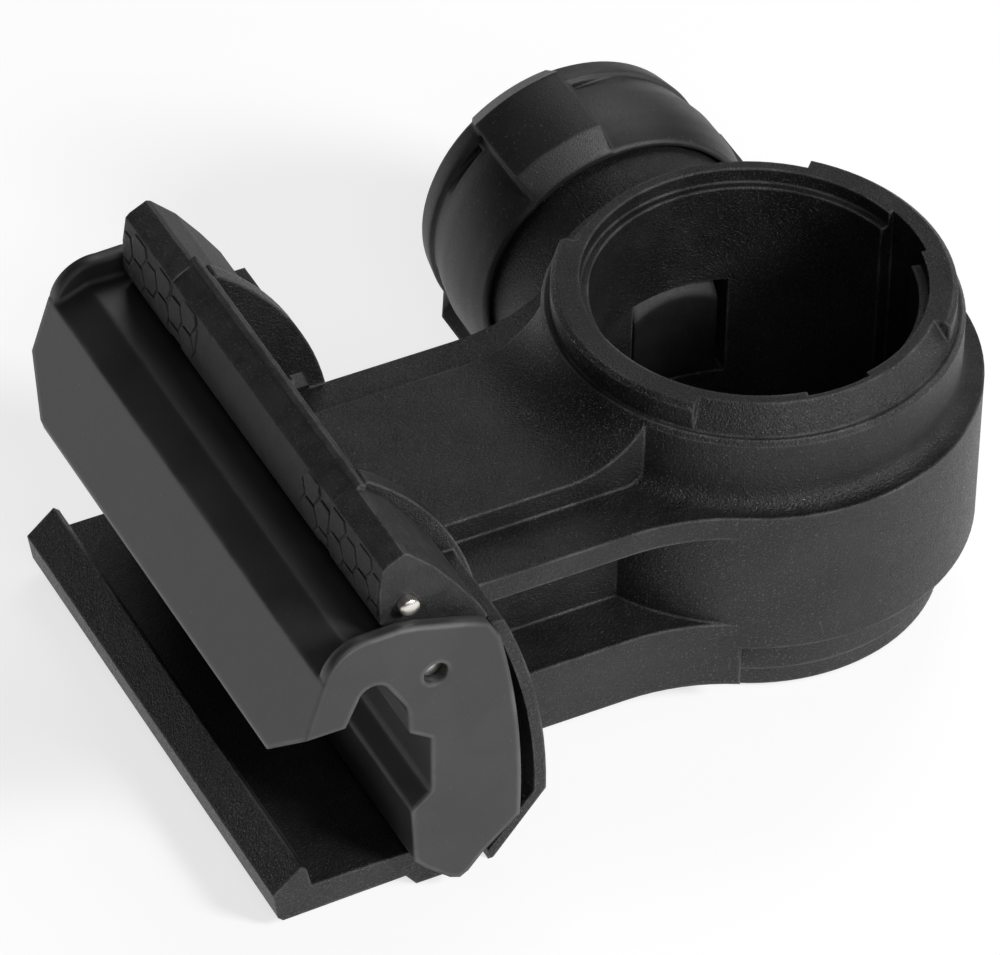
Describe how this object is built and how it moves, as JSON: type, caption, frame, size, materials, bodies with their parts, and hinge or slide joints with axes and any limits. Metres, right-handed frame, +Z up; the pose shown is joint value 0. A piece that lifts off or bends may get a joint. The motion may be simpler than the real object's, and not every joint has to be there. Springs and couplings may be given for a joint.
{
  "type": "rod holder clamp",
  "caption": "Rod holder clamp: a sprung hook jaw with a release lever grips a flat rail, and a screw clamps a round leg in the castellated barrel.",
  "frame": {"origin": "on the leg barrel's axis at its lower end", "axes": "+Z up along the barrel, -X towards the hook jaw and its lower plate, +Y towards the clamp knob"},
  "size_m": [0.1002, 0.0824, 0.0493],
  "materials": {
    "body_black": "satin, glass-filled, finely speckled",
    "jaw_grey": "satin, lightly scratched",
    "lever_black": "matte, mottled, with engraved hexagons",
    "knob_black": "satin",
    "pad_black": "satin",
    "pin_steel": "ground bright",
    "spring_steel": "bright drawn wire",
    "screw_steel": "zinc plated",
    "insert_brass": "turned"
  },
  "bodies": {
    "frame": {"main_body": "body_black", "jaw_pin": "pin_steel", "lever_pin": "pin_steel", "jaw_springs": "spring_steel", "thread_insert": "insert_brass"},
    "jaw": {"hook_jaw": "jaw_grey"},
    "lever": {"lever": "lever_black"},
    "pad": {"pressure_pad": "pad_black", "pad_clip": "screw_steel", "thrust_disc": "screw_steel"},
    "knob_set": {"knob": "knob_black", "knob_cap": "knob_black", "clamp_screw": "screw_steel"}
  },
  "joints": [
    {"name": "jaw_swing", "type": "hinge", "parent": "frame", "child": "jaw", "pos_m": [-0.0564, 0, 0.0333], "axis": [0, -1, 0], "range_deg": [0, 6], "stiffness_Nm_per_rad": 0.1, "springref_deg": -34.38, "deforming": ["jaw_springs"]},
    {"name": "lever_lift", "type": "hinge", "parent": "frame", "child": "lever", "pos_m": [-0.0586, 0, 0.042], "axis": [0, -1, 0], "range_deg": [0, 40]},
    {"name": "pad_slide", "type": "slide", "parent": "frame", "child": "pad", "axis": [0, -1, 0], "range_m": [0, 0.004]},
    {"name": "knob_turn", "type": "hinge", "parent": "pad", "child": "knob_set", "pos_m": [0, 0.031, 0.0187], "axis": [0, -1, 0], "range_deg": [0, 960]}
  ],
  "couplings": [
    {"joint": "knob_turn", "follows": "pad_slide", "rad_per_m": 4188.8}
  ]
}
